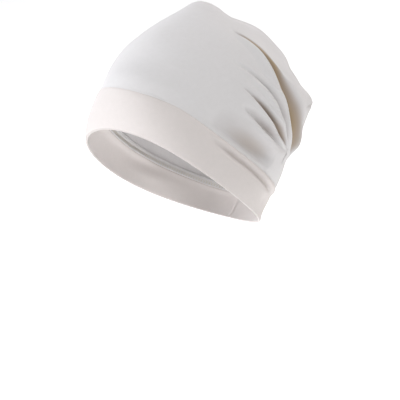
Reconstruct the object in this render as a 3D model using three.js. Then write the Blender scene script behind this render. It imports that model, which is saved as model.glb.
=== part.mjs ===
// A soft jersey chemo cap in its worn form. A folded headband carries a loose crown, whose spare
// length gathers at the back of each side and hangs as a pouch over a crease behind.
// Millimetres, +Z up, -Y the front, +X the left as worn.
// The origin is the middle of the opening, in the plane of the rim.
import * as THREE from "three";
import { mergeVertices } from "three/addons/utils/BufferGeometryUtils.js";

// Driving dimensions
const capTilt = 47;          // degrees that the rim's plane drops from the front to the back
const bandWall = 2.2;        // two layers of jersey with the fold at the rim
const bandRound = 0.35;      // how far the band's edges are eased
const bandProud = 0.9;       // the band's top edge stands out from the crown by this much
const bandHeight = 31;       // from the rim to the seam, along the cap's axis
const crownWall = 1.6;       // one layer, drawn a little thick
const hemTuck = 6;           // the crown's hem goes this far down behind the band
const clearance = 0.3;       // between the band and the crown's hem
const hemEnd = 1 - hemTuck / bandHeight;

// The cap's own axes: x to the left as worn, v to the back, w up along the cap's axis.
// Each section is an oval: its height w, its front and back points v, its half width x, how far its
// sides drop below its height, and where along v it is widest.
const rimSection = { w: 0, front: -97, back: 102, half: 75, drop: 9, widest: 0 };
const crownSections = [
  { name: "seam", w: bandHeight, front: -114, back: 105, half: 76, drop: 5, widest: 10 },
  { name: "brow", w: 45, front: -113, back: 99, half: 78, drop: 2, widest: 8 },
  { name: "crease", w: 62, front: -107, back: 97, half: 79, drop: -1, widest: 6 },
  { name: "pouch floor", w: 85, front: -99, back: 106, half: 77, drop: -3, widest: 8 },
  { name: "pouch", w: 110, front: -84, back: 116, half: 70, drop: -2, widest: 12 },
  { name: "shoulder", w: 130, front: -68, back: 110, half: 52, drop: 0, widest: 18 },
  { name: "peak", w: 145, front: -48, back: 92, half: 36, drop: 0, widest: 20 },
  { name: "top", w: 154, front: -12, back: 62, half: 18, drop: 0, widest: 20 },
  { name: "apex", w: 157, front: 17, back: 19, half: 1, drop: 0, widest: 18 },
];

// A place on the crown is a turn in degrees, 0 at the front and 90 at the left as worn, and a level
// counted in sections, 0 at the seam. Each fold runs from its gathered end over a middle place to where
// it fades. Its front cloth rolls over a groove that is steep in front and runs out slowly behind.
const folds = [
  { name: "main", from: [113, 1.95], over: [79, 3.66], to: [37, 4.72], depth: 9, front: 4, behind: 13, roll: 2.5, fade: 0.6 },
  { name: "second", from: [112, 1.95], over: [78, 2.94], to: [42, 3.25], depth: 3, front: 4, behind: 6, roll: 1.2, fade: 0.45 },
  { name: "third", from: [111, 1.85], over: [82, 2.33], to: [54, 2.6], depth: 4.5, front: 3.5, behind: 6, roll: 1.6, fade: 0.5 },
  { name: "fourth", from: [109, 1.75], over: [86, 1.7], to: [60, 1.95], depth: 3, front: 4, behind: 5, roll: 1, fade: 0.45 },
  { name: "fifth", from: [106, 1.15], over: [87, 0.93], to: [64, 0.95], depth: 2, front: 9, behind: 9, roll: 0.3, fade: 0.45 },
];
const rightSide = 0.85;      // the folds on the right are this share as deep as on the left
const backCrease = { from: [120, 1.8], over: [180, 1.95], to: [240, 1.8], depth: 3.5, front: 6, behind: 6, roll: 0, fade: 0.9 };
const endSeam = { from: [124, 3.95], over: [180, 4.1], to: [236, 3.95], depth: 1.5, front: 5, behind: 5, roll: 0, fade: 0.95 };

// Rounded swellings, and hollows where the height is negative
const puffs = [
  { name: "peak", turn: -8, level: 5.75, height: 4.5, radius: 17 },
  { name: "dip behind the peak", turn: 27, level: 6.35, height: -9, radius: 14 },
  { name: "hollow above the left corner", turn: 114, level: 5.45, height: -8, radius: 13 },
  { name: "left corner", turn: 122, level: 4.25, height: 5, radius: 11 },
  { name: "tuck under the left corner", turn: 131, level: 3.75, height: -3.5, radius: 9 },
  { name: "left sag", turn: 130, level: 2.6, height: 3, radius: 12 },
  { name: "right corner", turn: -124, level: 4.2, height: 4, radius: 12 },
  { name: "right sag", turn: -132, level: 2.7, height: 3, radius: 13 },
  { name: "right temple", turn: -39, level: 0.65, height: -2, radius: 15 },
];

// Columns stand closest where the folds are, and lean with the main fold above the gather.
const columnsAhead = [0, 13, 26, 38, 48, 57, 65, 71, 76, 81, 85, 89, 93, 97, 101, 104, 107, 110, 113];
const columnsBehind = [115, 117, 119.5, 122.5, 126, 130, 134.5, 139.5, 145, 151, 157.5, 164.5, 172];
const farthestLean = 60;     // the columns follow the main fold no farther forward than this
const crownLevels = [0.3, 0.55, 0.85, 1.15, 1.4, 1.62, 1.84, 2.06, 2.3, 2.56, 2.84, 3.12, 3.4, 3.68, 3.96, 4.24, 4.52,
  4.8, 5.1, 5.4, 5.7, 6, 6.3, 6.6, 6.9, 7.25, 7.65];

const radians = THREE.MathUtils.degToRad;
const ease = (x) => THREE.MathUtils.smoothstep(x, 0, 1);
const mix = THREE.MathUtils.lerp;

// A smooth value through the sections at a level
function sectionAt(level) {
  const last = crownSections.length - 1;
  const i = Math.min(Math.max(Math.floor(level), 0), last - 1);
  const f = level - i;
  const result = {};
  for (const key of ["w", "front", "back", "half", "drop", "widest"]) {
    const b = crownSections[i][key];
    const c = crownSections[i + 1][key];
    const a = i > 0 ? crownSections[i - 1][key] : 2 * b - c;
    const d = i + 2 <= last ? crownSections[i + 2][key] : 2 * c - b;
    result[key] = 0.5 * (2 * b + (c - a) * f + (2 * a - 5 * b + 4 * c - d) * f ** 2 + (3 * b - a - 3 * c + d) * f ** 3);
  }
  return result;
}

function onOval(section, turn) {
  const s = Math.sin(radians(turn));
  const c = Math.cos(radians(turn));
  const depth = c > 0 ? section.widest - section.front : section.back - section.widest;
  return new THREE.Vector3(section.half * s, section.widest - depth * c, section.w - section.drop * s * s);
}

// The oval's outward direction in its own plane
function ovalNormal(section, turn) {
  const before = onOval(section, turn - 0.5);
  const after = onOval(section, turn + 0.5);
  const along = after.sub(before);
  return new THREE.Vector3(-along.y, along.x, 0).multiplyScalar(-1).normalize();
}

function smoothCrown(turn, level) {
  return onOval(sectionAt(level), turn);
}

function smoothNormal(turn, level) {
  const around = smoothCrown(turn + 0.5, level).sub(smoothCrown(turn - 0.5, level));
  const up = smoothCrown(turn, level + 0.02).sub(smoothCrown(turn, level - 0.02));
  return around.cross(up).normalize();
}

// The turn and the level at a share of the way along a fold
function foldPlace(fold, share) {
  return [0, 1].map((k) => {
    const [a, b, c] = [fold.from[k], fold.over[k], fold.to[k]];
    return a + share * (4 * b - 3 * a - c) + share ** 2 * (2 * a + 2 * c - 4 * b);
  });
}

// Points along a fold on the smooth crown, with their directions
function traceFold(fold, mirror) {
  const steps = 48;
  const line = Array.from({ length: steps + 1 }, (_, i) => {
    const [turn, level] = foldPlace(fold, i / steps);
    return smoothCrown(turn * mirror, level);
  });
  const length = line.slice(1).reduce((sum, p, i) => sum + p.distanceTo(line[i]), 0);
  const directions = line.map((p, i) => {
    const ahead = line[Math.min(i + 1, steps)];
    return ahead.clone().sub(line[Math.max(i - 1, 0)]).normalize();
  });
  return { fold, mirror, line, length, directions };
}

const traces = [traceFold(backCrease, 1), traceFold(endSeam, 1)];
for (const fold of folds) {
  traces.push(traceFold(fold, 1));
  traces.push(traceFold({ ...fold, depth: fold.depth * rightSide, roll: fold.roll * rightSide }, -1));
}
const puffCentres = puffs.map((puff) => smoothCrown(puff.turn, puff.level));

// How far a fold moves the cloth out at a place of the smooth crown
function foldHeight({ fold, mirror, line, length, directions }, place, normal) {
  let nearest = 0;
  line.forEach((p, i) => {
    if (p.distanceToSquared(place) < line[nearest].distanceToSquared(place)) {
      nearest = i;
    }
  });
  const away = place.clone().sub(line[nearest]);
  const direction = directions[nearest];
  const across = away.dot(direction.clone().cross(normal)) * mirror;
  const share = nearest / (line.length - 1) + away.dot(direction) / length;
  const strength = ease((share + 0.06) / 0.16) * (1 - ease((share - fold.fade) / (1.02 - fold.fade)));
  const bottom = 1.3 * fold.front;
  const width = across < bottom ? fold.front : fold.behind * (1 - 0.5 * ease(share));
  const groove = fold.depth * Math.exp(-(((across - bottom) / width) ** 2));
  const roll = fold.roll * Math.exp(-(((across + fold.front) / (1.6 * fold.front)) ** 2));
  return strength * (roll - groove);
}

// The crown's outer face at a turn and level, moved in by an inset
function crownFace(turn, level, inset) {
  const place = smoothCrown(turn, level);
  const normal = smoothNormal(turn, level);
  let height = 0;
  for (const trace of traces) {
    height += foldHeight(trace, place, normal);
  }
  puffs.forEach((puff, i) => {
    height += puff.height * Math.exp(-(place.distanceToSquared(puffCentres[i]) / puff.radius ** 2));
  });
  const level0 = ovalNormal(crownSections[0], turn);
  const outward = level0.lerp(normal, ease(level / 1.2)).normalize();
  const proud = bandProud * (1 - ease(level / 0.6));
  return place.addScaledVector(outward, height * ease(level / 0.4) - proud - inset);
}

// The same, with the inset square to the folded cloth
function crownPoint(turn, level, inset) {
  const point = crownFace(turn, level, 0);
  const around = crownFace(turn + 0.8, level, 0).sub(crownFace(turn - 0.8, level, 0));
  const up = crownFace(turn, level + 0.03, 0).sub(crownFace(turn, level - 0.03, 0));
  return point.addScaledVector(around.cross(up).normalize(), -inset);
}

// The band's cloth at a share of its height, moved in from its outer face by an inset
const bandBulge = 3;
const earHollow = { turn: 126, depth: 6, spread: 24 };

function bandPoint(turn, share, inset) {
  const section = {};
  for (const key of Object.keys(rimSection)) {
    section[key] = mix(rimSection[key], crownSections[0][key], share);
  }
  const fromEar = (Math.abs(turn) - earHollow.turn) / earHollow.spread;
  const bulge = (bandBulge - earHollow.depth * Math.exp(-(fromEar ** 2))) * 4 * share * (1 - share);
  return onOval(section, turn).addScaledVector(ovalNormal(section, turn), bulge - inset);
}

// The turn at which the main fold crosses a level
function mainFoldTurn(level) {
  const [a, b, c] = [folds[0].from[1], folds[0].over[1], folds[0].to[1]];
  const slope = 4 * b - 3 * a - c;
  const bend = 2 * a + 2 * c - 4 * b;
  const rise = THREE.MathUtils.clamp(level, a, c) - a;
  return foldPlace(folds[0], (Math.sqrt(slope ** 2 + 4 * bend * rise) - slope) / (2 * bend))[0];
}

// Turns of the columns at a level: the front ones close up along the main fold
function columnTurns(level) {
  const edge = Math.max(mainFoldTurn(level), farthestLean);
  const gatherTurn = folds[0].from[0];
  const ahead = columnsAhead.map((turn) => turn * edge / gatherTurn);
  const behind = columnsBehind.map((turn) => {
    const share = (turn - gatherTurn) / (180 - gatherTurn);
    return mix(edge, 180, share ** mix(0.7, 1, edge / gatherTurn));
  });
  const left = [...ahead, ...behind];
  return [...left, 180, ...left.slice(1).reverse().map((turn) => -turn)];
}

// A closed surface over rings of equal counts, whose squares are cut alike on the left and on the right.
// Where it doesn't close on itself its ends are single points.
function closedSkin(rings, closeOnItself, firstPoint, lastPoint) {
  const count = rings[0].length;
  const points = rings.flat();
  const faces = [];
  const pairs = closeOnItself ? rings.length : rings.length - 1;
  for (let r = 0; r < pairs; r++) {
    const low = r * count;
    const high = ((r + 1) % rings.length) * count;
    for (let i = 0; i < count; i++) {
      const j = (i + 1) % count;
      if (i < count / 2) {
        faces.push([low + i, low + j, high + j], [low + i, high + j, high + i]);
      } else {
        faces.push([low + i, low + j, high + i], [low + j, high + j, high + i]);
      }
    }
  }
  if (!closeOnItself) {
    points.push(firstPoint, lastPoint);
    const top = (rings.length - 1) * count;
    for (let i = 0; i < count; i++) {
      const j = (i + 1) % count;
      faces.push([points.length - 2, j, i], [points.length - 1, top + i, top + j]);
    }
  }
  const geometry = new THREE.BufferGeometry();
  geometry.setAttribute("position", new THREE.Float32BufferAttribute(points.flatMap((p) => p.toArray()), 3));
  geometry.setIndex(faces.flat());
  const merged = mergeVertices(geometry, 1e-4);
  merged.computeVertexNormals();
  return merged;
}

function makeBand() {
  const eased = bandRound / bandHeight;
  const loop = [
    { share: 0.04, inset: 0 }, { share: 0.3, inset: 0 }, { share: 0.65, inset: 0 }, { share: 0.96, inset: 0 },
    { share: 1, inset: bandWall * 0.25 }, { share: 1, inset: bandWall * 0.75 },
    { share: 0.96, inset: bandWall }, { share: hemEnd, inset: bandWall }, { share: 0.4, inset: bandWall },
    { share: 0.04, inset: bandWall },
    { share: -eased, inset: bandWall * 0.75 }, { share: -eased, inset: bandWall * 0.25 },
  ];
  const turns = columnTurns(0);
  return closedSkin(loop.map(({ share, inset }) => turns.map((turn) => bandPoint(turn, share, inset))), true);
}

function makeCrown() {
  const hemInset = bandWall + clearance;
  const turns = columnTurns(0);
  const hem = (inset) => [
    turns.map((turn) => bandPoint(turn, hemEnd, hemInset + inset)),
    turns.map((turn) => bandPoint(turn, 0.985, hemInset + inset)),
  ];
  // the cloth steps out over the band's top edge
  const step = (inset) => [
    turns.map((turn) => crownFace(turn, 0.045, hemInset - bandProud + inset)),
    turns.map((turn) => crownFace(turn, 0.12, inset)),
  ];
  const dome = (inset) => crownLevels.map((level) => columnTurns(level).map((turn) => crownPoint(turn, level, inset)));
  const outer = [...hem(0), ...step(0), ...dome(0)];
  const inner = [...hem(crownWall), ...step(crownWall), ...dome(crownWall)];
  const apex = smoothCrown(0, crownSections.length - 1);
  const innerApex = apex.clone().add(new THREE.Vector3(0, 0, -crownWall));
  return closedSkin([...inner.reverse(), ...outer], false, innerApex, apex);
}

const jersey = { roughness: 0.95, metalness: 0 };
const capGroup = new THREE.Group();
capGroup.rotation.x = -radians(capTilt);

const band = new THREE.Mesh(makeBand(), new THREE.MeshStandardMaterial({ color: 0xf3efe8, ...jersey }));
band.name = "band";
capGroup.add(band);

const crown = new THREE.Mesh(makeCrown(), new THREE.MeshStandardMaterial({ color: 0xeeebe6, ...jersey }));
crown.name = "crown";
capGroup.add(crown);

export default capGroup;
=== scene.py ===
# A soft jersey cap in its worn form: a folded headband and a loose crown that gathers at the back of each
# side and hangs as a pouch behind. The tables are in millimetres, the meshes in metres.
import math

import bpy
import numpy as np
from mathutils import Matrix, Vector


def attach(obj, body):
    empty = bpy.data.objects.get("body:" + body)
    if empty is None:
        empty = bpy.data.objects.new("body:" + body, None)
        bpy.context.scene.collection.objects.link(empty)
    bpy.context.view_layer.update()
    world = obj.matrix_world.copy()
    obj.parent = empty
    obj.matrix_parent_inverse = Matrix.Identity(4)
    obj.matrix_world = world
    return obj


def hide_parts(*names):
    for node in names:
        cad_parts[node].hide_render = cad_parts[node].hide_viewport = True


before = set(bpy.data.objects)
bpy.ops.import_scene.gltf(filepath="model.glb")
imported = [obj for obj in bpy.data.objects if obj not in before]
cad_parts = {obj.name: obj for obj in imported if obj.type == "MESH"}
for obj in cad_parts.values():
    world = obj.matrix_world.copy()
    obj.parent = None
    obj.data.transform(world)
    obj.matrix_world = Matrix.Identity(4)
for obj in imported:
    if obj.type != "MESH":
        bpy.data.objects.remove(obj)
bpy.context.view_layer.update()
print("frame loaded:", ", ".join(sorted(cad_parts)))

mm = 0.001

capForm = {
    "tilt": 47,             # degrees that the rim's plane drops from the front to the back
    "bandHeight": 31,       # from the rim to the seam, along the cap's axis
    "bandWall": 2.2,        # both layers of the folded band
    "hemTuck": 6,           # the crown's hem goes this far down behind the band
    "clearance": 0.4,       # between the band and the crown's hem
    "layer": 0.9,           # one layer of jersey
    "rightSide": 0.85,      # the folds on the right are this share as deep as on the left
    "meanRadius": 78,       # the UV map counts its width at this radius
}
hemEnd = 1 - capForm["hemTuck"] / capForm["bandHeight"]

# The cap's own axes: x to the left as worn, v to the back, w up the cap's axis. Each row has
# w, front, back, half width, drop of the sides, and where along v the oval is widest.
rimSection = np.array((0, -97, 102, 75, 9, 0), float)
crownSections = {
    "seam": (31, -114, 105, 76, 5, 10),
    "low wall": (45, -113, 99, 78, 2, 8),
    "crease": (62, -107, 97, 79, -1, 6),
    "pouch floor": (85, -99, 106, 77, -3, 8),
    "pouch": (110, -84, 116, 70, -2, 12),
    "shoulder": (130, -68, 110, 52, 0, 18),
    "peak": (145, -48, 92, 36, 0, 20),
    "top": (154, -12, 62, 18, 0, 20),
    "apex": (157, 17, 19, 1, 0, 18),
}
sectionRows = np.array(list(crownSections.values()), float)

# A place on the crown is a turn in degrees, 0 at the front and 90 at the left as worn, and a level
# counted in sections. A fold runs from its gathered end over a middle place to where it fades, and
# its other values follow one another along that line, 0 where they are left out. Across it, in front
# of the groove's bottom and behind it, they say how wide the groove is, how high the cloth rises on
# both sides, and how far the front lip leans over the groove. The shift moves all of that forwards
# from the line. The painted shade value says how much the depth darkens the cloth's colour as
# painted shade in the crease, and reach how much wider than the groove's back wall that painted
# shade is.
sideFolds = {
    "main": {
        "line": ((118.5, 1.6), (79, 3.66), (37, 4.72)), "sharp": 2.0, "paintedShade": 1,
        "depth": (7, 22, 22, 20, 1), "bottom": (3, 8, 6, 3.4, 2.4),
        "front": (1.6, 3.0, 2.8, 1.7, 1.4), "behind": (8, 15, 4.8, 2.3, 1.6),
        "reach": (1.9, 1.08, 1.25, 2.8, 1.6), "roll": (0.6, 2.2, 3.0, 3.0, 0.8),
        "ridge": (0.8, 3.0, 2.6, 0.6, 0), "lean": (0.6, 2.8, 3.4, 3.0, 0.4), "shift": (-5, 12, 12, 7, 3.5)},
    "second": {
        "line": ((112.5, 1.68), (78, 2.94), (42, 3.25)), "sharp": 1.5, "paintedShade": 0.45,
        "depth": (2, 9, 6.2, 2.4, 0), "bottom": (1.5, 2.8, 2.4, 2, 2),
        "front": (1.1, 1.9, 1.8, 1.7, 1.7), "behind": (1.5, 2.6, 2.4, 2.2, 2.2),
        "reach": (0.9, 0.9), "roll": (0.4, 2.4, 2.6, 0.6, 0),
        "ridge": (0.5, 2.8, 2.6, 0.5, 0), "lean": (0.2, 1.4, 1.4, 0.4, 0), "shift": (0, 8, 4.5, 3.5, 4)},
    "third": {
        "line": ((112, 1.63), (82, 2.33), (54, 2.6)), "sharp": 1.35, "paintedShade": 1.05,
        "depth": (1.2, 8, 10, 3.4, 0), "bottom": (1.0, 2.4, 2.3, 2, 2),
        "front": (0.9, 2.2, 2.3, 1.6, 1.4), "behind": (1.2, 2.2, 2.3, 2.2, 2),
        "reach": (0.9, 1.1), "roll": (0.6, 2.0, 2.2, 0.5, 0),
        "ridge": (1.0, 2.8, 3.4, 0.6, 0), "lean": (0.2, 0.6, 0.8, 0.3, 0), "shift": (0.4, 5.6, 5.5, 4, 4)},
    "fourth": {
        "line": ((111, 1.56), (86, 1.60), (60, 1.95)), "sharp": 1.7, "paintedShade": 0.4,
        "depth": (0.5, 4.4, 9, 6, 0), "bottom": (1.0, 2.4, 3.2, 3, 3),
        "front": (1.5, 3.2, 3.4, 3.4, 3), "behind": (0.9, 2.2, 3.8, 4.0, 3.4),
        "reach": (1.3, 1.3), "roll": (0.3, 1.0, 0.8, 0.3, 0),
        "ridge": (0.5, 1.8, 1.6, 0.4, 0), "lean": (0.1, 0.5, 0.4, 0.1, 0), "shift": (0, 1.5, 1.5, 1.5, 3)},
    "fifth": {
        "line": ((98, 0.85), (78, 0.6), (46, 0.55)), "sharp": 1.9, "paintedShade": 0.66,
        "depth": (0.4, 5, 6.5, 4.2, 0.5), "front": (6, 9, 9, 9, 9), "behind": (3, 8, 10, 14, 16),
        "reach": (1.2, 1.2), "ridge": (0, 1.4, 1.8, 0.8, 0)},
    "below the gather": {
        "line": ((112, 1.75), (111, 1.35), (110, 0.9)), "sharp": 1.3, "paintedShade": 1.8,
        "depth": (2.6, 3.4, 2.6, 1.4, 0), "front": (1.2, 1.2), "behind": (1.4, 1.4),
        "reach": (1.4, 1.4), "roll": (0.5, 0.9, 0.7, 0.3, 0), "ridge": (0.5, 0.8, 0.6, 0.3, 0)},
    "corner tuck": {
        "line": ((125, 4.1), (117, 3.8), (109, 3.4)), "sharp": 1.4, "paintedShade": 2.5,
        "depth": (2.2, 1.8, 1.2, 0.6, 0), "front": (1.0, 1.0), "behind": (1.2, 1.2),
        "reach": (1.4, 1.4), "roll": (0.5, 0.4, 0.3, 0.2, 0), "ridge": (1.2, 0.8, 0.4, 0.2, 0)},
}
backFolds = {
    "closing seam": {
        "line": ((180, 0.02), (180, 2), (180, 4.0)), "sharp": 1.3, "paintedShade": 1,
        "depth": (0.6, 0.6, 0.6, 0.6, 0.3), "front": (0.9, 0.9), "behind": (0.9, 0.9),
        "reach": (1.4, 1.4), "roll": (0.15, 0.15), "ridge": (0.15, 0.15)},
    "back crease": {
        "line": ((120, 1.8), (180, 1.95), (240, 1.8)), "sharp": 1.6, "paintedShade": 1,
        "depth": (0, 3.4, 4, 3.4, 0), "bottom": (6.5, 6.5), "front": (5, 5), "behind": (7, 7),
        "reach": (1.4, 1.4)},
    "end seam": {
        "line": ((124, 3.95), (180, 4.1), (236, 3.95)), "sharp": 1.2, "paintedShade": 1,
        "depth": (0, 2.1, 2.2, 2.1, 0), "bottom": (3, 3), "front": (2.4, 2.4), "behind": (3.4, 3.4),
        "reach": (1.4, 1.4), "roll": (0, 0.4, 0.4, 0.4, 0), "ridge": (0, 0.4, 0.4, 0.4, 0)},
}
foldShape = {
    "steps": 160,                  # places on a fold's line that the cloth is measured from
    "start": (0.08, 0.1),          # a fold begins this share ahead of its line, and is full over the next
    "end": (0.85, 0.17),           # it weakens from this share of its line, over the next
    "far": (48, 14),               # mm from the line where its effect weakens, and over how many
    "roll": (1, 1.6),              # place and width of the front lip's roll, in widths of the front wall
    "ridge": (1.6, 0.9),           # of the ridge behind, in widths of the back wall
    "lean": (0.3, 1.2),            # of the leaning cloth, in widths of the front wall
}

# turn, level, height and radius of swellings, and of hollows where the height is negative
crownPuffs = {
    "peak": (-8, 5.75, 4.5, 17),
    "dip behind the peak": (27, 6.35, -9, 14),
    "hollow above the left corner": (114, 5.45, -8, 13),
    "notch before the left corner": (100, 4.75, -5, 10),
    "left corner": (122, 4.25, 3.5, 11),
    "tuck under the left corner": (131, 3.75, -3.5, 9),
    "left sag": (127, 2.4, 4.6, 12),
    "right corner": (-124, 4.2, 4, 12),
    "right sag": (-132, 2.7, 3, 13),
    "low right front": (-39, 0.65, -2, 15),
    "high right front": (-36, 3.9, -2.4, 24),
    "over the peak": (-4, 6.1, -2, 8),
    "left of the peak": (30, 6.6, -2.2, 12),
    "over the left hollow": (92, 6.9, -2.2, 13),
    "step above the left corner": (128, 5.7, -3, 8),
}

crownDetail = {
    "tuckReach": 0.95,             # the crown comes out again from behind the band's edge by this level
    "tuckMore": 0.05,              # it starts this much further in than that edge
    "pucker": 0.16,                # small waves that the seam's stitches draw
    "puckerLength": 7.0,
    "puckerLevels": (0.12, 0.3),   # they are full from this level, and fade over this many
    "drape": 0.35,                 # broad unevenness of the loose cloth
    "drapeLength": 38.0,
    "drapeLevels": (0.5, 2),       # it starts at this level, and is full this many higher
    "fullFrom": 0.4,               # folds and swellings have their full size from this level
    "paintedShadeFrom": 0.1,               # and the folds their full painted shade from this one
    "squareTo": 1.2,               # up to this level the cloth moves square to the seam's oval
}

bandDetail = {
    "bulge": 3.0,                  # fuller halfway up
    "backHollow": (126, 6.0, 24),  # less full towards the back: turn, depth, spread
    "trough": (3.6, 0.785, 0.085), # under the seam: depth, share of the height, spread
    "troughTurns": (48, 72, 104, 122),  # it starts, is full, weakens again and is at its weakest
    "troughLoss": 0.75,            # by then it has lost this share of its depth
    "edge": (2.0, 0.87),           # the top edge rolls in at the sides: depth, share where it starts
    "edgeTurns": (34, 68),         # there it starts to roll in, and is full
    "edgeLoss": (0.6, 125, 30),    # it rolls in less again: share lost, from this turn, over this many
    "front": 0.14,                 # at the front it rolls in by this much of that
    "dent": (1.4, 116, 10, 0.42, 0.16),  # towards the back: depth, turn, spread, share, spread
    "pucker": 0.14,
    "puckerSpread": 0.2,           # share of the height below the seam
    "join": (0.7, 1.1),            # the seam that closes the band behind: depth, half width
    "rimPaintedShade": 3.0,                # painted shade: the rim's fold is darkened as a hollow this deep would be
    "rimShare": (0.035, 0.03),     # from here down, over this share of the height
    "rise": (2.3, 35, 19),         # the seam runs higher beside the front: height, turn, spread
    "rightFront": (2.2, -52, 26, 0.9),  # fuller here: depth, turn, spread, and up to this share
}


def ease(x):
    x = np.clip(x, 0, 1)
    return x * x * (3 - 2 * x)


def bell(x):
    return np.exp(-np.square(x))


def unit(v):
    return v / np.maximum(np.linalg.norm(v, axis=-1, keepdims=True), 1e-12)


def dot(a, b):
    return np.sum(a * b, -1)


def alongRows(rows, at):
    # a smooth curve through the rows, at places counted in rows
    at = np.asarray(at, float)
    last = len(rows) - 1
    i = np.clip(np.floor(at).astype(int), 0, last - 1)
    f = (at - i)[..., None]
    b, c = rows[i], rows[i + 1]
    a = np.where((i > 0)[..., None], rows[np.maximum(i - 1, 0)], 2 * b - c)
    d = np.where((i + 2 <= last)[..., None], rows[np.minimum(i + 2, last)], 2 * c - b)
    return 0.5 * (2 * b + (c - a) * f + (2 * a - 5 * b + 4 * c - d) * f**2 + (3 * b - a - 3 * c + d) * f**3)


def onOval(section, turn):
    s, c = np.sin(np.radians(turn)), np.cos(np.radians(turn))
    w, front, back, half, drop, widest = np.moveaxis(section, -1, 0)
    depth = np.where(c > 0, widest - front, back - widest)
    return np.stack([half * s, widest - depth * c, w - drop * s * s], -1)


def ovalNormal(section, turn):
    along = onOval(section, turn + 0.5) - onOval(section, turn - 0.5)
    return unit(np.stack([along[..., 1], -along[..., 0], np.zeros_like(along[..., 0])], -1))


def smoothCrown(turn, level):
    place = onOval(alongRows(sectionRows, level), turn)
    place[..., 2] += seamRise(turn, 1 - np.clip(level, 0, 1.5) / 1.5)
    return place


def smoothNormal(turn, level):
    around = smoothCrown(turn + 0.5, level) - smoothCrown(turn - 0.5, level)
    up = smoothCrown(turn, level + 0.02) - smoothCrown(turn, level - 0.02)
    return unit(np.cross(around, up))


def foldPlace(fold, share):
    # turn and level at a share of the way along a fold
    a, b, c = (np.array(place, float) for place in fold["line"])
    share = np.asarray(share, float)[..., None]
    place = a + share * (4 * b - 3 * a - c) + share**2 * (2 * a + 2 * c - 4 * b)
    return place[..., 0], place[..., 1]


def foldMove(fold, side, weight, place, normal):
    # the way that one fold moves the cloth, for every place of the smooth crown, and how much painted shade its
    # depth puts into the colour
    steps = foldShape["steps"]
    turn, level = foldPlace(fold, np.linspace(0, 1, steps + 1))
    line = smoothCrown(turn * side, level)
    ahead = unit(np.gradient(line, axis=0))
    length = np.linalg.norm(np.diff(line, axis=0), axis=1).sum()
    flat = place.reshape(-1, 3)
    nearest = (np.sum(line**2, 1) - 2 * flat @ line.T).argmin(1).reshape(place.shape[:-1])
    away = place - line[nearest]
    sideways = unit(np.cross(ahead[nearest], normal)) * side
    share = nearest / steps + dot(away, ahead[nearest]) / length
    here = {}
    for name in ("depth", "bottom", "front", "behind", "reach", "roll", "ridge", "lean", "shift"):
        values = np.array(fold.get(name, (0, 0)), float)[:, None]
        here[name] = alongRows(values, np.clip(share, 0, 1) * (len(values) - 1))[..., 0]
    (before, rise), (end, fade), (far, farFade) = (foldShape[name] for name in ("start", "end", "far"))
    strength = weight * ease((share + before) / rise) * (1 - ease((share - end) / fade))
    strength = strength * (1 - ease((np.linalg.norm(away, axis=-1) - far) / farFade))
    across = dot(away, sideways) + here["shift"] - here["bottom"]
    front, behind = here["front"], here["behind"]
    groove = here["depth"] * np.exp(-np.abs(across / np.where(across < 0, front, behind)) ** fold["sharp"])
    fromLip = across + here["bottom"]
    (rollAt, rollWide), (ridgeAt, ridgeWide), (leanAt, leanWide) = (
        foldShape[name] for name in ("roll", "ridge", "lean"))
    roll = here["roll"] * bell((fromLip + rollAt * front) / (rollWide * front))
    ridge = here["ridge"] * bell((across - ridgeAt * behind) / (ridgeWide * behind))
    lean = here["lean"] * bell((fromLip + leanAt * front) / (leanWide * front))
    move = strength[..., None] * (normal * (roll + ridge - groove)[..., None] + sideways * lean[..., None])
    # painted shade: the groove's depth darkens the colour, wider behind the groove than the groove itself
    paintedShade = fold["paintedShade"] * here["depth"] * bell(across / np.where(across < 0, front, here["reach"] * behind))
    return move, strength * paintedShade


def waves(points, length, seed, count=14):
    # even, seamless unevenness between about -1 and 1
    source = np.random.default_rng(seed)
    total = 0
    for _ in range(count):
        direction = unit(source.normal(size=3))
        k = 2 * math.pi / (length * source.uniform(0.7, 1.6))
        total = total + np.sin(points @ direction * k + source.uniform(0, 2 * math.pi))
    return total / math.sqrt(count)


def crownFace(turn, level, inset):
    # the crown's outer face, moved in by an inset, and how much painted shade its folds put into the colour
    place = smoothCrown(turn, level)
    normal = smoothNormal(turn, level)
    move, hollow = np.zeros_like(place), np.zeros(turn.shape)
    folds = [(fold, 1, 1) for fold in (*backFolds.values(), *sideFolds.values())]
    folds += [(fold, -1, capForm["rightSide"]) for fold in sideFolds.values()]
    for fold, side, weight in folds:
        moved, depth = foldMove(fold, side, weight, place, normal)
        move += moved
        # the deepest fold here sets the painted shade
        hollow = np.maximum(hollow, depth)
    height = np.zeros(turn.shape)
    for puffTurn, puffLevel, puffHeight, radius in crownPuffs.values():
        centre = smoothCrown(np.array(float(puffTurn)), np.array(float(puffLevel)))
        height += puffHeight * bell(np.linalg.norm(place - centre, axis=-1) / radius)
    first, over = crownDetail["drapeLevels"]
    height += crownDetail["drape"] * waves(place, crownDetail["drapeLength"], 3) * ease((level - first) / over)
    free = ease(level / crownDetail["squareTo"])[..., None]
    outward = unit(ovalNormal(sectionRows[0], turn) * (1 - free) + normal * free)
    near = ease(level / crownDetail["fullFrom"])[..., None]
    first, over = crownDetail["puckerLevels"]
    seam = crownDetail["pucker"] * waves(place, crownDetail["puckerLength"], 5) * bell(level / over)
    tuck = np.clip(1 - level / crownDetail["tuckReach"], 0, 1) ** 1.5
    tuck = (edgeDepth(turn) + crownDetail["tuckMore"]) * tuck
    rise = height * near[..., 0] + seam * ease(level / first) - tuck - inset
    return place + move * near + outward * rise[..., None], hollow * ease(level / crownDetail["paintedShadeFrom"])


def besideFront(turn):
    # 0 at the front, 1 at the sides, less again towards the back
    first, full = bandDetail["edgeTurns"]
    loss, less, over = bandDetail["edgeLoss"]
    return ease((np.abs(turn) - first) / (full - first)) * (1 - loss * ease((np.abs(turn) - less) / over))


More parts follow.
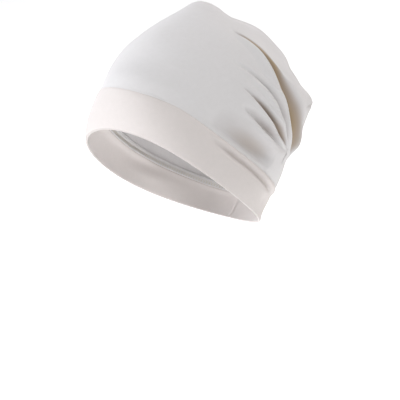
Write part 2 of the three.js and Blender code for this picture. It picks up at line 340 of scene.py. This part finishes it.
def troughDepth(turn, share):
    depth, at, spread = bandDetail["trough"]
    first, full, less, least = bandDetail["troughTurns"]
    turn = np.abs(turn)
    weaker = bandDetail["troughLoss"] * ease((turn - less) / (least - less))
    depth = depth * ease((turn - first) / (full - first)) * (1 - weaker)
    return depth * bell((share - at) / spread)


def dentDepth(turn, share):
    depth, at, spread, dentShare, shareSpread = bandDetail["dent"]
    return depth * bell((np.abs(turn) - at) / spread) * bell((share - dentShare) / shareSpread)


def edgeDepth(turn):
    # how far the band's top edge rolls in
    return bandDetail["edge"][0] * (bandDetail["front"] + (1 - bandDetail["front"]) * besideFront(turn))


def seamRise(turn, share):
    height, at, spread = bandDetail["rise"]
    return height * bell((np.abs(turn) - at) / spread) * ease(share)


def bandPoint(turn, share, inset):
    # the band's cloth at a share of its height, moved in from its outer face by an inset
    turn, share, inset = np.broadcast_arrays(turn, share, inset)
    section = rimSection * (1 - share[..., None]) + sectionRows[0] * share[..., None]
    hollowTurn, hollowDepth, hollowSpread = bandDetail["backHollow"]
    hollow = hollowDepth * bell((np.abs(turn) - hollowTurn) / hollowSpread)
    rise = (bandDetail["bulge"] - hollow) * 4 * share * (1 - share)
    rise = rise - troughDepth(turn, share)
    place = onOval(section, turn)
    place[..., 2] += seamRise(turn, share)
    pucker = bandDetail["pucker"] * waves(place, crownDetail["puckerLength"], 5)
    rise = rise + pucker * bell((1 - share) / bandDetail["puckerSpread"])
    joinDepth, joinWidth = bandDetail["join"]
    rise = rise - joinDepth * bell(place[..., 0] / joinWidth) * (np.abs(turn) > 90)
    start = bandDetail["edge"][1]
    rise = rise - edgeDepth(turn) * np.square(np.clip((share - start) / (1 - start), 0, 1))
    rise = rise - dentDepth(turn, share)
    fuller, at, spread, upTo = bandDetail["rightFront"]
    rise = rise + fuller * bell((turn - at) / spread) * (1 - ease(share / upTo))
    return place + ovalNormal(section, turn) * (rise - inset)[..., None]


def bandPaintedShade(turn, share, inset):
    # painted shade of the trough, the dent and the rim, as a depth in mm, on the outer face alone
    turn, share, inset = np.broadcast_arrays(turn, share, inset)
    high, over = bandDetail["rimShare"]
    rim = bandDetail["rimPaintedShade"] * ease((high - share) / over)
    paintedShade = troughDepth(turn, share) + rim + dentDepth(turn, share)
    return paintedShade * (inset < capForm["bandWall"] / 2)


def toMetres(points):
    # from the cap's own axes to the frame's
    c, s = math.cos(math.radians(capForm["tilt"])), math.sin(math.radians(capForm["tilt"]))
    x, v, w = np.moveaxis(points, -1, 0)
    return np.stack([x, v * c + w * s, w * c - v * s], -1) * mm


# the columns of both meshes: how many between the front and the main fold's line, and from there
# to the back, how far round the first ones are, and how evenly the others lie
columnPlan = {
    "ahead": 110, "behind": 61, "leastTurn": 60,
    "place": (0, 0.26, 0.36, 0.9, 1), "share": (0, 0.46, 0.58, 0.96, 1),
    "even": 0.2,
}


def mainFoldTurn(level):
    turn, at = foldPlace(sideFolds["main"], np.linspace(0, 1, 200))
    return np.interp(level, at, turn)


def columnTurns(level):
    # the columns lean with the main fold, and are closest beside the gathers and the closing seam
    edge = np.maximum(mainFoldTurn(level), columnPlan["leastTurn"])[:, None]
    t = np.linspace(0, 1, columnPlan["ahead"] + 1)[None, :]
    ahead = edge * np.interp(t, columnPlan["place"], columnPlan["share"])
    s = np.linspace(0, 1, columnPlan["behind"] + 1)[None, 1:]
    even = columnPlan["even"]
    behind = edge + (180 - edge) * ((1 - even) * ease(s) + even * s)
    left = np.concatenate([ahead, behind], 1)
    return np.concatenate([-left[:, :0:-1], left[:, :-1]], 1)


def grid(name, rows, loop=False, first=None, last=None, uvRows=None, turns=None):
    # a closed skin over rows of columns, with a UV map in metres: round the cap, and up it
    count = rows.shape[1]
    points = rows.reshape(-1, 3)
    pairs = len(rows) if loop else len(rows) - 1
    r, i = np.meshgrid(np.arange(pairs), np.arange(count), indexing="ij")
    r, i = r.ravel(), i.ravel()
    up, j = (r + 1) % len(rows), (i + 1) % count
    faces = np.stack([r * count + i, r * count + j, up * count + j, up * count + i], 1)
    mesh = bpy.data.meshes.new(name)
    extra = [] if loop else [first, last]
    points = np.concatenate([points, extra]) if extra else points
    fans = []
    if extra:
        i = np.arange(count)
        j = (i + 1) % count
        top = (len(rows) - 1) * count
        low = np.stack([np.full(count, len(points) - 2), j, i], 1)
        high = np.stack([np.full(count, len(points) - 1), top + i, top + j], 1)
        fans = np.concatenate([low, high]).tolist()
    mesh.from_pydata(points.tolist(), [], faces.tolist() + fans)
    mesh.update()
    around = np.radians(np.concatenate([turns, turns[:, :1] + 360], 1)) * capForm["meanRadius"] * mm
    i = faces[:, 0] % count
    r0, r1 = faces[:, 0] // count, faces[:, 3] // count
    v1 = np.where(r1 == 0, uvRows[-1], uvRows[r1]) if loop else uvRows[r1]
    uv = np.stack([
        np.stack([around[r0, i], uvRows[r0]], 1), np.stack([around[r0, i + 1], uvRows[r0]], 1),
        np.stack([around[r1, i + 1], v1], 1), np.stack([around[r1, i], v1], 1)], 1).reshape(-1, 2)
    if fans:
        i = np.arange(count)
        for row in (0, len(rows) - 1):
            a, b = around[row, i], around[row, i + 1]
            v = np.full(count, uvRows[row])
            corners = [np.stack([(a + b) / 2, v], 1), np.stack([b, v], 1), np.stack([a, v], 1)]
            if row:
                corners = [corners[0], corners[2], corners[1]]
            uv = np.concatenate([uv, np.stack(corners, 1).reshape(-1, 2)])
    layer = mesh.uv_layers.new(name="cloth")
    layer.data.foreach_set("uv", uv.astype(np.float32).ravel())
    mesh.polygons.foreach_set("use_smooth", [True] * len(mesh.polygons))
    piece = bpy.data.objects.new(name, mesh)
    bpy.context.scene.collection.objects.link(piece)
    return piece


def gridNormals(rows):
    # the last column is beside the first one
    around = np.roll(rows, -1, 1) - np.roll(rows, 1, 1)
    up = np.gradient(rows, axis=0)
    return unit(np.cross(around, up))


def arcLength(rows):
    middle = rows[:, rows.shape[1] // 2]
    return np.concatenate([[0], np.cumsum(np.linalg.norm(np.diff(middle, axis=0), axis=1))])


# the hollow attribute holds, as a depth in mm, how much painted shade darkens the colour
def giveHollow(piece, values):
    layer = piece.data.attributes.new("hollow", "FLOAT", "POINT")
    layer.data.foreach_set("value", values.astype(np.float32).ravel())


def makeCrown():
    hemInset = capForm["bandWall"] + capForm["clearance"]
    turns0 = columnTurns(np.zeros(1))
    hemShares = np.linspace(hemEnd, 1.0, 9)[:, None]
    hem = bandPoint(turns0, hemShares, hemInset)
    # the first rows come out of the seam, and they lie close where the folds are
    levels = np.concatenate([
        [0.0005, 0.002, 0.008, 0.02], np.linspace(0.04, 0.3, 12),
        np.linspace(0.33, 4.9, 128), np.linspace(4.95, 7.8, 44)])
    turns = columnTurns(levels)
    grown = np.broadcast_to(levels[:, None], turns.shape)
    step = np.interp(grown, (0.0005, 0.002, 0.008), (hemInset, 0.03, 0))
    dome, hollow = crownFace(turns, grown, step)
    outer = np.concatenate([hem, dome])
    allTurns = np.concatenate([np.repeat(turns0, len(hemShares), 0), turns])
    normal = gridNormals(outer)
    # rows that the inner face shares, closest where the folds are sharp
    keep = np.unique(np.concatenate([
        np.arange(0, 24, 3), np.arange(24, 52, 7), np.arange(52, 106),
        np.arange(106, 150, 4), np.arange(150, len(outer), 6), [len(outer) - 1]]))
    inner = outer[keep] - normal[keep] * capForm["layer"]
    # the cut edge of the hem is rounded
    edge = (outer[:1] + inner[:1]) / 2 - (outer[1:2] - outer[:1]) * 0.3
    rows = np.concatenate([inner[::-1], edge, outer])
    uvRows = np.concatenate([arcLength(outer)[keep][::-1], [0], arcLength(outer)]) * mm
    uvTurns = np.concatenate([allTurns[keep][::-1], turns0, allTurns])
    apex = smoothCrown(np.array(0.0), np.array(8.0))
    innerApex = apex - (0, 0, capForm["layer"])
    piece = grid("crown_cloth", toMetres(rows), False, toMetres(innerApex), toMetres(apex), uvRows, uvTurns)
    # painted shade lies on the dome's outer face alone
    outerPaintedShade = np.concatenate([np.zeros(hem.shape[:2]), hollow])
    both = np.concatenate([np.zeros((len(keep) + 1, rows.shape[1])), outerPaintedShade])
    giveHollow(piece, np.concatenate([both.ravel(), [0, 0]]))
    # the overlock stitches follow a line on the hem's inner face, against the turn so that they point up
    start = toMetres(inner[0] - normal[0] * 0.1)[::-1]
    return piece, start, toMetres(-normal[0])[::-1] / mm


def makeBand():
    wall, layer = capForm["bandWall"], capForm["layer"]
    gap = wall - 2 * layer
    height = capForm["bandHeight"]
    up = np.concatenate([np.linspace(0.03, 0.7, 22), np.linspace(0.725, 0.985, 16), [0.998]])
    coarse = np.concatenate([np.linspace(0.03, 0.7, 12), np.linspace(0.76, 0.985, 6)])
    half = np.linspace(0, math.pi, 9)[1:-1]
    bottom = up[0]
    # share of the height and inset, from the outer face round the rim to the inner face, and back
    # between the two layers
    loop = [(s, 0.08 * ease((s - 0.97) / 0.025)) for s in up[::-1]]
    loop += [(bottom - math.sin(a) * wall / 2 / height, wall / 2 * (1 - math.cos(a))) for a in half]
    loop += [(s, wall) for s in up]
    loop += [(0.997, wall - layer / 2)]
    loop += [(s, wall - layer) for s in coarse[::-1]]
    loop += [(bottom - math.sin(a) * gap / 2 / height, layer + gap / 2 * (1 + math.cos(a))) for a in half[::2]]
    loop += [(s, layer + 0.15 * ease((s - 0.94) / 0.05)) for s in coarse]
    loop += [(0.999, layer * 0.4)]
    loop = np.array(loop[::-1])
    turns = columnTurns(np.zeros(1))
    rows = bandPoint(turns, loop[:, :1], loop[:, 1:])
    uvRows = arcLength(rows) * mm
    piece = grid("band_cloth", toMetres(rows), True, uvRows=uvRows, turns=np.repeat(turns, len(rows), 0))
    giveHollow(piece, bandPaintedShade(turns, loop[:, :1], loop[:, 1:]))
    return piece


crown, hemEdge, hemInward = makeCrown()
print("crown made:", len(crown.data.polygons), "faces")
band = makeBand()
print("band made:", len(band.data.polygons), "faces")


# Materials
def toLinear(hexColour):
    parts = [int(hexColour[i:i + 2], 16) / 255 for i in (1, 3, 5)]
    return [c / 12.92 if c <= 0.04045 else ((c + 0.055) / 1.055) ** 2.4 for c in parts] + [1]


def addNode(tree, kind, settings=None, links=None):
    # links: an input's name or number, and the value it has or the output it is fed from
    node = tree.nodes.new(kind)
    for key, value in (settings or {}).items():
        setattr(node, key, value)
    for key, value in (links or {}).items():
        if isinstance(value, bpy.types.NodeSocket):
            tree.links.new(value, node.inputs[key])
        else:
            node.inputs[key].default_value = value
    return node


jerseyLook = {
    "crown": {"colour": "#eceaea", "shade": "#e5e3e2"},
    "band": {"colour": "#ece5e2", "shade": "#e5dfdb"},
    "wale": 1.5,            # mm between the ribs of the knit, twice the real 0.75 so that they show
    "course": 1.2,          # mm from one row of loops to the next, drawn as coarse
    "slant": 0.6,           # how much the loops stand out beside the ribs
    "knit": (0.1, 0.25),    # strength of the ribs, and their height in mm
    "fibre": 4.0,           # mm, mottling of the yarn
    "mottle": (0.12, 0.5),  # its strength and its height in mm
    # painted shade of the folds: its colour, and mm of depth where it starts and where it is full
    "paintedCreaseShades": (("#bab3b1", 0.8, 6.5), ("#b9a487", 2.5, 10.0), ("#8d8274", 9.0, 20.0)),
}


def jerseyMaterial(name, look):
    # viscose jersey, fine single knit: matt, with a faint bloom at grazing angles and tiny ribs up the cloth
    material = bpy.data.materials.new(name)
    material.use_nodes = True
    tree = material.node_tree
    tree.nodes.clear()
    place = addNode(tree, "ShaderNodeUVMap", {"uv_map": "cloth"}).outputs["UV"]
    here = addNode(tree, "ShaderNodeTexCoord").outputs["Object"]
    split = addNode(tree, "ShaderNodeSeparateXYZ", links={0: place})
    wale = addNode(tree, "ShaderNodeMath", {"operation": "MULTIPLY"}, {
        0: split.outputs[0], 1: 1 / (jerseyLook["wale"] * mm)})
    leg = addNode(tree, "ShaderNodeMath", {"operation": "PINGPONG"}, {0: wale.outputs[0], 1: 0.5})
    course = addNode(tree, "ShaderNodeMath", {"operation": "MULTIPLY_ADD"}, {
        0: split.outputs[1], 1: 1 / (jerseyLook["course"] * mm), 2: leg.outputs[0]})
    loop = addNode(tree, "ShaderNodeMath", {"operation": "PINGPONG"}, {0: course.outputs[0], 1: 0.5})
    rib = addNode(tree, "ShaderNodeMath", {"operation": "MULTIPLY_ADD"}, {
        0: loop.outputs[0], 1: jerseyLook["slant"], 2: leg.outputs[0]})
    strength, height = jerseyLook["knit"]
    knit = addNode(tree, "ShaderNodeBump", links={
        "Strength": strength, "Distance": height * mm, "Height": rib.outputs[0]})
    fibre = addNode(tree, "ShaderNodeTexNoise", links={
        "Vector": here, "Scale": 1 / (jerseyLook["fibre"] * mm), "Detail": 4.0, "Roughness": 0.6})
    strength, height = jerseyLook["mottle"]
    soft = addNode(tree, "ShaderNodeBump", links={
        "Strength": strength, "Distance": height * mm,
        "Height": fibre.outputs[0], "Normal": knit.outputs[0]})
    shade = addNode(tree, "ShaderNodeMix", {"data_type": "RGBA"}, {
        0: fibre.outputs[0], 6: toLinear(look["colour"]), 7: toLinear(look["shade"])})
    # painted shade: the creases get a deeper, warmer colour the deeper they are
    hollow = addNode(tree, "ShaderNodeAttribute", {"attribute_name": "hollow"})
    for paintedShade, first, full in jerseyLook["paintedCreaseShades"]:
        deep = addNode(tree, "ShaderNodeMapRange", links={0: hollow.outputs["Fac"], 1: first, 2: full})
        shade = addNode(tree, "ShaderNodeMix", {"data_type": "RGBA"}, {
            0: deep.outputs[0], 6: shade.outputs[2], 7: toLinear(paintedShade)})
    shader = addNode(tree, "ShaderNodeBsdfPrincipled", links={
        "Base Color": shade.outputs[2], "Roughness": 0.92, "Specular IOR Level": 0.25,
        "Sheen Weight": 0.25, "Sheen Roughness": 0.55, "Normal": soft.outputs[0]})
    addNode(tree, "ShaderNodeOutputMaterial", links={"Surface": shader.outputs[0]})
    return material


crownJersey = jerseyMaterial("crown_viscose_jersey", jerseyLook["crown"])
bandJersey = jerseyMaterial("band_viscose_jersey", jerseyLook["band"])
crown.data.materials.append(crownJersey)
band.data.materials.append(bandJersey)

threadLook = {"colour": "#f4f0e6", "shade": "#dcd5c6", "twist": 0.6}    # mm from ridge to ridge


def threadMaterial():
    # spun polyester thread: a little glossier than the jersey, with the ridges of its twist
    material = bpy.data.materials.new("polyester_thread")
    material.use_nodes = True
    tree = material.node_tree
    tree.nodes.clear()
    here = addNode(tree, "ShaderNodeTexCoord").outputs["Object"]
    twist = addNode(tree, "ShaderNodeTexNoise", links={
        "Vector": here, "Scale": 1 / (threadLook["twist"] * mm), "Detail": 2.0})
    bump = addNode(tree, "ShaderNodeBump", links={
        "Strength": 0.4, "Distance": 0.1 * mm, "Height": twist.outputs[0]})
    shade = addNode(tree, "ShaderNodeMix", {"data_type": "RGBA"}, {
        0: twist.outputs[0], 6: toLinear(threadLook["colour"]), 7: toLinear(threadLook["shade"])})
    shader = addNode(tree, "ShaderNodeBsdfPrincipled", links={
        "Base Color": shade.outputs[2], "Roughness": 0.6, "Specular IOR Level": 0.35, "Normal": bump.outputs[0]})
    addNode(tree, "ShaderNodeOutputMaterial", links={"Surface": shader.outputs[0]})
    return material


thread = threadMaterial()
print("materials made")

# Stitches
overlock = {
    "Spacing": 2.6 * mm,    # from one loop of thread to the next
    "Reach": 4.2 * mm,      # from the cut edge into the hem
    "Thread": 0.17 * mm,    # radius
    "Lift": 0.22 * mm,      # above the cloth
}


def stitchTree():
    tree = bpy.data.node_groups.new("overlock_stitches", "GeometryNodeTree")
    tree.interface.new_socket("Geometry", in_out="INPUT", socket_type="NodeSocketGeometry")
    for name, value in overlock.items():
        tree.interface.new_socket(name, in_out="INPUT", socket_type="NodeSocketFloat").default_value = value
    tree.interface.new_socket("Material", in_out="INPUT", socket_type="NodeSocketMaterial")
    tree.interface.new_socket("Geometry", in_out="OUTPUT", socket_type="NodeSocketGeometry")
    given = addNode(tree, "NodeGroupInput").outputs
    path = addNode(tree, "GeometryNodeMeshToCurve", links={"Mesh": given["Geometry"]})
    points = addNode(tree, "GeometryNodeResampleCurve", {"mode": "LENGTH"}, {
        "Curve": path.outputs[0], "Length": given["Spacing"]})
    # one loop of thread: out from the edge, into the hem and back, x along the hem and y up it
    halfStep = addNode(tree, "ShaderNodeMath", {"operation": "MULTIPLY"}, {0: given["Spacing"], 1: 0.5})
    lessStep = addNode(tree, "ShaderNodeMath", {"operation": "MULTIPLY"}, {0: given["Spacing"], 1: -0.5})
    twice = addNode(tree, "ShaderNodeMath", {"operation": "MULTIPLY"}, {0: given["Reach"], 1: 2.0})
    high = addNode(tree, "ShaderNodeMath", {"operation": "MULTIPLY"}, {0: given["Lift"], 1: 2.5})
    ends = [addNode(tree, "ShaderNodeCombineXYZ", links={0: side.outputs[0], 2: given["Lift"]})
            for side in (lessStep, halfStep)]
    middle = addNode(tree, "ShaderNodeCombineXYZ", links={1: twice.outputs[0], 2: high.outputs[0]})
    loop = addNode(tree, "GeometryNodeCurveQuadraticBezier", links={
        "Resolution": 8, "Start": ends[0].outputs[0], "Middle": middle.outputs[0], "End": ends[1].outputs[0]})
    section = addNode(tree, "GeometryNodeCurvePrimitiveCircle", links={
        "Resolution": 6, "Radius": given["Thread"]})
    stitch = addNode(tree, "GeometryNodeCurveToMesh", links={
        "Curve": loop.outputs[0], "Profile Curve": section.outputs[0], "Fill Caps": True})
    along = addNode(tree, "GeometryNodeInputTangent")
    inward = addNode(tree, "GeometryNodeInputNamedAttribute", {"data_type": "FLOAT_VECTOR"}, {"Name": "inward"})
    turned = addNode(tree, "FunctionNodeAlignRotationToVector", {"axis": "X"}, {"Vector": along.outputs[0]})
    placed = addNode(tree, "FunctionNodeAlignRotationToVector", {"axis": "Z", "pivot_axis": "X"}, {
        "Rotation": turned.outputs[0], "Vector": inward.outputs[0]})
    copies = addNode(tree, "GeometryNodeInstanceOnPoints", links={
        "Points": points.outputs[0], "Instance": stitch.outputs[0], "Rotation": placed.outputs[0]})
    real = addNode(tree, "GeometryNodeRealizeInstances", links={"Geometry": copies.outputs[0]})
    coloured = addNode(tree, "GeometryNodeSetMaterial", links={
        "Geometry": real.outputs[0], "Material": given["Material"]})
    addNode(tree, "NodeGroupOutput", links={"Geometry": coloured.outputs[0]})
    return tree


def makeStitches(edge, inwards):
    count = len(edge)
    path = bpy.data.meshes.new("hem_path")
    path.from_pydata(edge.tolist(), [(i, (i + 1) % count) for i in range(count)], [])
    inward = path.attributes.new("inward", "FLOAT_VECTOR", "POINT")
    inward.data.foreach_set("vector", inwards.astype(np.float32).ravel())
    guide = bpy.data.objects.new("hem_path", path)
    bpy.context.scene.collection.objects.link(guide)
    modifier = guide.modifiers.new("overlock", "NODES")
    modifier.node_group = stitchTree()
    for socket in modifier.node_group.interface.items_tree:
        if socket.in_out == "INPUT" and socket.name in overlock:
            modifier[socket.identifier] = overlock[socket.name]
        elif socket.in_out == "INPUT" and socket.name == "Material":
            modifier[socket.identifier] = thread
    mesh = bpy.data.meshes.new_from_object(guide.evaluated_get(bpy.context.evaluated_depsgraph_get()))
    bpy.data.objects.remove(guide)
    mesh.name = "hem_overlock"
    mesh.polygons.foreach_set("use_smooth", [True] * len(mesh.polygons))
    piece = bpy.data.objects.new("hem_overlock", mesh)
    bpy.context.scene.collection.objects.link(piece)
    return piece


stitches = makeStitches(hemEdge, hemInward)
print("stitches made:", len(stitches.data.polygons), "faces")

for piece, node, slot in ((crown, "crown", "crown_jersey"), (band, "band", "band_jersey")):
    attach(piece, "root")
    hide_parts(node)
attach(stitches, "root")


# Studio
studio = {
    "azimuth": 40, "elevation": 25, "roll": -6.5,
    "distance": 1.476, "pixelsPerMm": 1.128, "imageWidth": 400,
    "aim": (20.86, -21.78),        # mm to the right and up, seen from the camera
    "seesTo": 20,                  # metres
    "softboxSize": 0.9, "softboxDistance": 1.3, "softboxAim": (0, 0.05, 0.03),
    "floor": -0.26, "floorGlow": 0.61,
    "floorRadius": 4.5, "floorBend": 1.6, "floorSides": 64,
}
# direction from the cap as seen from the camera: right, up in the room, towards the camera; watts; colour
softboxes = {
    "left_softbox": ((-1.0, 0.1, 0.1), 6.9, (0.88, 0.94, 1.0)),
    "low_left_softbox": ((-0.9, -0.35, 0.2), 8.8, (1.0, 0.92, 0.94)),
    "right_back_softbox": ((0.8, 0.62, -0.6), 2.4, (1.0, 0.84, 0.74)),
    "front_softbox": ((0, 1.0, 0.8), 4.8, (0.99, 0.99, 1.0)),
    "top_softbox": ((0, 1.3, 0.01), 6.3, (0.98, 0.98, 1.0)),
    "back_softbox": ((0, 0.9, -0.9), 4.7, (0.97, 0.96, 1.0)),
}
a, e, r = (math.radians(studio[k]) for k in ("azimuth", "elevation", "roll"))
back = Vector((math.sin(a) * math.cos(e), -math.cos(a) * math.cos(e), math.sin(e)))
level = Vector((math.cos(a), math.sin(a), 0))
right = math.cos(r) * level + math.sin(r) * back.cross(level)
above = back.cross(right)
camera = bpy.data.objects.new("camera", bpy.data.cameras.new("camera"))
bpy.context.scene.collection.objects.link(camera)
camera.location = back * studio["distance"]
target = (right * studio["aim"][0] + above * studio["aim"][1]) * mm
backward = (camera.location - target).normalized()
across = above.cross(backward).normalized()
turned = Matrix((across, backward.cross(across), backward)).transposed().to_4x4()
camera.matrix_world = Matrix.Translation(camera.location) @ turned
scale = studio["pixelsPerMm"] / mm / studio["imageWidth"]
camera.data.lens = camera.data.sensor_width * scale * studio["distance"]
camera.data.clip_end = studio["seesTo"]
bpy.context.scene.camera = camera

# the light comes from the softboxes and the paper alone
world = bpy.data.worlds.new("studio")
world.use_nodes = True
world.node_tree.nodes["Background"].inputs["Strength"].default_value = 0
bpy.context.scene.world = world

for name, (spot, power, colour) in softboxes.items():
    lamp = bpy.data.lights.new(name, "AREA")
    lamp.energy, lamp.size, lamp.color = power, studio["softboxSize"], colour
    holder = bpy.data.objects.new(name, lamp)
    place = (spot[0] * level + spot[1] * Vector((0, 0, 1)) + spot[2] * back).normalized()
    holder.location = place * studio["softboxDistance"]
    toCap = holder.location - Vector(studio["softboxAim"])
    holder.rotation_euler = toCap.to_track_quat("Z", "Y").to_euler()
    bpy.context.scene.collection.objects.link(holder)

# a sheet of white paper that curves up all round, well behind everything
radius, bend, sides = studio["floorRadius"], studio["floorBend"], studio["floorSides"]
bends = [math.radians(angle) for angle in range(0, 91, 9)]
sweep = [(0.01, 0)] + [(radius + bend * math.sin(angle), bend - bend * math.cos(angle)) for angle in bends]
around = [2 * math.pi * i / sides for i in range(sides)]
points = [(out * math.cos(turn), out * math.sin(turn), studio["floor"] + up)
          for out, up in sweep for turn in around]
faces = [(row + i, row + (i + 1) % sides, row + sides + (i + 1) % sides, row + sides + i)
         for row in range(0, sides * (len(sweep) - 1), sides) for i in range(sides)]
floorMesh = bpy.data.meshes.new("floor")
floorMesh.from_pydata(points, [], faces + [tuple(range(sides))])
floorMesh.polygons.foreach_set("use_smooth", [True] * len(floorMesh.polygons))
floor = bpy.data.objects.new("floor", floorMesh)
bpy.context.scene.collection.objects.link(floor)
paper = bpy.data.materials.new("white_paper")
paper.use_nodes = True
paperLook = {
    "Base Color": (0.9, 0.9, 0.9, 1), "Roughness": 0.9,
    "Emission Color": (1, 1, 1, 1), "Emission Strength": studio["floorGlow"]}
for socket, value in paperLook.items():
    paper.node_tree.nodes["Principled BSDF"].inputs[socket].default_value = value
floorMesh.materials.append(paper)
bpy.context.scene.view_settings.view_transform = "Standard"
print("studio made")
